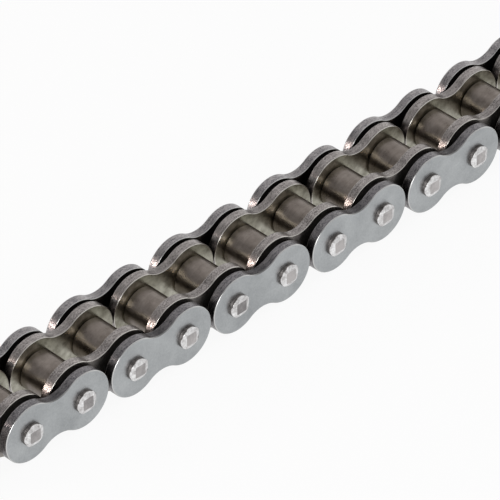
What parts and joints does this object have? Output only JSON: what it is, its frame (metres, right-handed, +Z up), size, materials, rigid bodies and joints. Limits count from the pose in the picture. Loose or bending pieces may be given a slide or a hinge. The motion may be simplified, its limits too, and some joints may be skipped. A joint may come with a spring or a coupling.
{
  "type": "roller chain",
  "caption": "Length of sealed motorcycle drive chain: figure-eight plates on staked pins, with rollers that turn on bushes, bending link by link to run round sprockets.",
  "frame": {"origin": "under the middle of the strand, on the surface that its plates stand on", "axes": "+X along the strand, +Y along the pins away from the viewer, +Z up"},
  "size_m": [0.2218, 0.0246, 0.0155],
  "materials": {
    "outer_plate": "satin, shot-peened",
    "inner_plate": "satin, heat-tinted rims",
    "pin": "ground, staked ends",
    "bush": "ground",
    "roller": "tempered brown",
    "seal": "moulded, greased"
  },
  "bodies": {
    "inner_link_1": {"inner_link_1_near_plate": "inner_plate", "inner_link_1_far_plate": "inner_plate", "inner_link_1_bushes": "bush"},
    "inner_link_1_left_roller": {"inner_link_1_left_roller": "roller"},
    "inner_link_1_right_roller": {"inner_link_1_right_roller": "roller"},
    "inner_link_2": {"inner_link_2_near_plate": "inner_plate", "inner_link_2_far_plate": "inner_plate", "inner_link_2_bushes": "bush"},
    "inner_link_2_left_roller": {"inner_link_2_left_roller": "roller"},
    "inner_link_2_right_roller": {"inner_link_2_right_roller": "roller"},
    "inner_link_3": {"inner_link_3_near_plate": "inner_plate", "inner_link_3_far_plate": "inner_plate", "inner_link_3_bushes": "bush"},
    "inner_link_3_left_roller": {"inner_link_3_left_roller": "roller"},
    "inner_link_3_right_roller": {"inner_link_3_right_roller": "roller"},
    "inner_link_4": {"inner_link_4_near_plate": "inner_plate", "inner_link_4_far_plate": "inner_plate", "inner_link_4_bushes": "bush"},
    "inner_link_4_left_roller": {"inner_link_4_left_roller": "roller"},
    "inner_link_4_right_roller": {"inner_link_4_right_roller": "roller"},
    "inner_link_5": {"inner_link_5_near_plate": "inner_plate", "inner_link_5_far_plate": "inner_plate", "inner_link_5_bushes": "bush"},
    "inner_link_5_left_roller": {"inner_link_5_left_roller": "roller"},
    "inner_link_5_right_roller": {"inner_link_5_right_roller": "roller"},
    "inner_link_6": {"inner_link_6_near_plate": "inner_plate", "inner_link_6_far_plate": "inner_plate", "inner_link_6_bushes": "bush"},
    "inner_link_6_left_roller": {"inner_link_6_left_roller": "roller"},
    "inner_link_6_right_roller": {"inner_link_6_right_roller": "roller"},
    "inner_link_7": {"inner_link_7_near_plate": "inner_plate", "inner_link_7_far_plate": "inner_plate", "inner_link_7_bushes": "bush"},
    "inner_link_7_left_roller": {"inner_link_7_left_roller": "roller"},
    "inner_link_7_right_roller": {"inner_link_7_right_roller": "roller"},
    "outer_link_1": {"outer_link_1_near_plate": "outer_plate", "outer_link_1_far_plate": "outer_plate", "outer_link_1_pins": "pin", "outer_link_1_seal_rings": "seal"},
    "outer_link_2": {"outer_link_2_near_plate": "outer_plate", "outer_link_2_far_plate": "outer_plate", "outer_link_2_pins": "pin", "outer_link_2_seal_rings": "seal"},
    "outer_link_3": {"outer_link_3_near_plate": "outer_plate", "outer_link_3_far_plate": "outer_plate", "outer_link_3_pins": "pin", "outer_link_3_seal_rings": "seal"},
    "outer_link_4": {"outer_link_4_near_plate": "outer_plate", "outer_link_4_far_plate": "outer_plate", "outer_link_4_pins": "pin", "outer_link_4_seal_rings": "seal"},
    "outer_link_5": {"outer_link_5_near_plate": "outer_plate", "outer_link_5_far_plate": "outer_plate", "outer_link_5_pins": "pin", "outer_link_5_seal_rings": "seal"},
    "outer_link_6": {"outer_link_6_near_plate": "outer_plate", "outer_link_6_far_plate": "outer_plate", "outer_link_6_pins": "pin", "outer_link_6_seal_rings": "seal"}
  },
  "joints": [
    {"name": "pin_7_hinge", "type": "hinge", "parent": "inner_link_4", "child": "outer_link_4", "pos_m": [0.00794, 0, 0.00775], "axis": [0, -1, 0], "range_deg": [-90, 90]},
    {"name": "pin_8_hinge", "type": "hinge", "parent": "outer_link_4", "child": "inner_link_5", "pos_m": [0.02381, 0, 0.00775], "axis": [0, 1, 0], "range_deg": [-90, 90]},
    {"name": "pin_9_hinge", "type": "hinge", "parent": "inner_link_5", "child": "outer_link_5", "pos_m": [0.03969, 0, 0.00775], "axis": [0, -1, 0], "range_deg": [-90, 90]},
    {"name": "pin_10_hinge", "type": "hinge", "parent": "outer_link_5", "child": "inner_link_6", "pos_m": [0.05556, 0, 0.00775], "axis": [0, 1, 0], "range_deg": [-90, 90]},
    {"name": "pin_11_hinge", "type": "hinge", "parent": "inner_link_6", "child": "outer_link_6", "pos_m": [0.07144, 0, 0.00775], "axis": [0, -1, 0], "range_deg": [-90, 90]},
    {"name": "pin_12_hinge", "type": "hinge", "parent": "outer_link_6", "child": "inner_link_7", "pos_m": [0.08731, 0, 0.00775], "axis": [0, 1, 0], "range_deg": [-90, 90]},
    {"name": "pin_6_hinge", "type": "hinge", "parent": "inner_link_4", "child": "outer_link_3", "pos_m": [-0.00794, 0, 0.00775], "axis": [0, -1, 0], "range_deg": [-90, 90]},
    {"name": "pin_5_hinge", "type": "hinge", "parent": "outer_link_3", "child": "inner_link_3", "pos_m": [-0.02381, 0, 0.00775], "axis": [0, 1, 0], "range_deg": [-90, 90]},
    {"name": "pin_4_hinge", "type": "hinge", "parent": "inner_link_3", "child": "outer_link_2", "pos_m": [-0.03969, 0, 0.00775], "axis": [0, -1, 0], "range_deg": [-90, 90]},
    {"name": "pin_3_hinge", "type": "hinge", "parent": "outer_link_2", "child": "inner_link_2", "pos_m": [-0.05556, 0, 0.00775], "axis": [0, 1, 0], "range_deg": [-90, 90]},
    {"name": "pin_2_hinge", "type": "hinge", "parent": "inner_link_2", "child": "outer_link_1", "pos_m": [-0.07144, 0, 0.00775], "axis": [0, -1, 0], "range_deg": [-90, 90]},
    {"name": "pin_1_hinge", "type": "hinge", "parent": "outer_link_1", "child": "inner_link_1", "pos_m": [-0.08731, 0, 0.00775], "axis": [0, 1, 0], "range_deg": [-90, 90]},
    {"name": "inner_link_1_left_roller_spin", "type": "hinge", "parent": "inner_link_1", "child": "inner_link_1_left_roller", "pos_m": [-0.10319, 0, 0.00775], "axis": [0, 1, 0], "continuous": true},
    {"name": "inner_link_1_right_roller_spin", "type": "hinge", "parent": "inner_link_1", "child": "inner_link_1_right_roller", "pos_m": [-0.08731, 0, 0.00775], "axis": [0, 1, 0], "continuous": true},
    {"name": "inner_link_2_left_roller_spin", "type": "hinge", "parent": "inner_link_2", "child": "inner_link_2_left_roller", "pos_m": [-0.07144, 0, 0.00775], "axis": [0, 1, 0], "continuous": true},
    {"name": "inner_link_2_right_roller_spin", "type": "hinge", "parent": "inner_link_2", "child": "inner_link_2_right_roller", "pos_m": [-0.05556, 0, 0.00775], "axis": [0, 1, 0], "continuous": true},
    {"name": "inner_link_3_left_roller_spin", "type": "hinge", "parent": "inner_link_3", "child": "inner_link_3_left_roller", "pos_m": [-0.03969, 0, 0.00775], "axis": [0, 1, 0], "continuous": true},
    {"name": "inner_link_3_right_roller_spin", "type": "hinge", "parent": "inner_link_3", "child": "inner_link_3_right_roller", "pos_m": [-0.02381, 0, 0.00775], "axis": [0, 1, 0], "continuous": true},
    {"name": "inner_link_4_left_roller_spin", "type": "hinge", "parent": "inner_link_4", "child": "inner_link_4_left_roller", "pos_m": [-0.00794, 0, 0.00775], "axis": [0, 1, 0], "continuous": true},
    {"name": "inner_link_4_right_roller_spin", "type": "hinge", "parent": "inner_link_4", "child": "inner_link_4_right_roller", "pos_m": [0.00794, 0, 0.00775], "axis": [0, 1, 0], "continuous": true},
    {"name": "inner_link_5_left_roller_spin", "type": "hinge", "parent": "inner_link_5", "child": "inner_link_5_left_roller", "pos_m": [0.02381, 0, 0.00775], "axis": [0, 1, 0], "continuous": true},
    {"name": "inner_link_5_right_roller_spin", "type": "hinge", "parent": "inner_link_5", "child": "inner_link_5_right_roller", "pos_m": [0.03969, 0, 0.00775], "axis": [0, 1, 0], "continuous": true},
    {"name": "inner_link_6_left_roller_spin", "type": "hinge", "parent": "inner_link_6", "child": "inner_link_6_left_roller", "pos_m": [0.05556, 0, 0.00775], "axis": [0, 1, 0], "continuous": true},
    {"name": "inner_link_6_right_roller_spin", "type": "hinge", "parent": "inner_link_6", "child": "inner_link_6_right_roller", "pos_m": [0.07144, 0, 0.00775], "axis": [0, 1, 0], "continuous": true},
    {"name": "inner_link_7_left_roller_spin", "type": "hinge", "parent": "inner_link_7", "child": "inner_link_7_left_roller", "pos_m": [0.08731, 0, 0.00775], "axis": [0, 1, 0], "continuous": true},
    {"name": "inner_link_7_right_roller_spin", "type": "hinge", "parent": "inner_link_7", "child": "inner_link_7_right_roller", "pos_m": [0.10319, 0, 0.00775], "axis": [0, 1, 0], "continuous": true}
  ]
}
